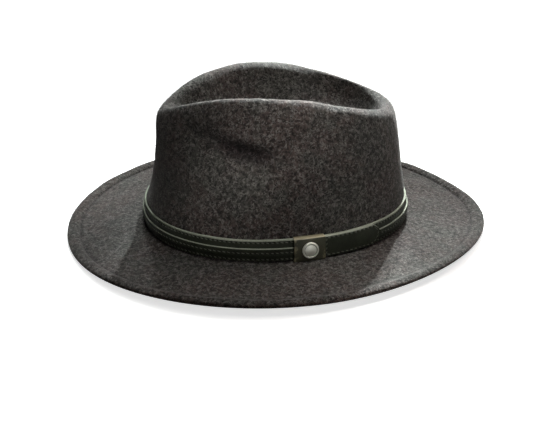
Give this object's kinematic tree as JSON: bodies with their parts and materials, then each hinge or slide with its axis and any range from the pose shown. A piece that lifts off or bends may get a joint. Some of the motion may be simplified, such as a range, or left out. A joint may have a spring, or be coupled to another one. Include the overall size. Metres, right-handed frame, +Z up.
{
  "type": "felt hat",
  "caption": "Wide-brimmed felt hat with a creased and pinched crown, a doubled brim edge and a leather band with keeper and stud.",
  "frame": {"origin": "on the surface that the hat rests on, midway along the brim and midway across it", "axes": "+Z up; the front of the hat is -Y, the back +Y; +X is the wearer's left, the side with the keeper and stud"},
  "size_m": [0.2948, 0.3304, 0.1155],
  "materials": {
    "felt": "matt wool felt, charcoal brown melange",
    "strap_leather": "smooth dark green leather with pale raw edges",
    "strip_leather": "smooth dark green leather with pale raw edges",
    "keeper_leather": "smooth dark olive leather, waxed",
    "stud_metal": "pale brushed antique silver"
  },
  "bodies": {
    "root": {"felt_body": "felt", "hat_band": "strap_leather", "band_strip": "strip_leather", "band_tab": "strap_leather", "band_keeper": "keeper_leather", "keeper_stud": "stud_metal"}
  },
  "joints": []
}
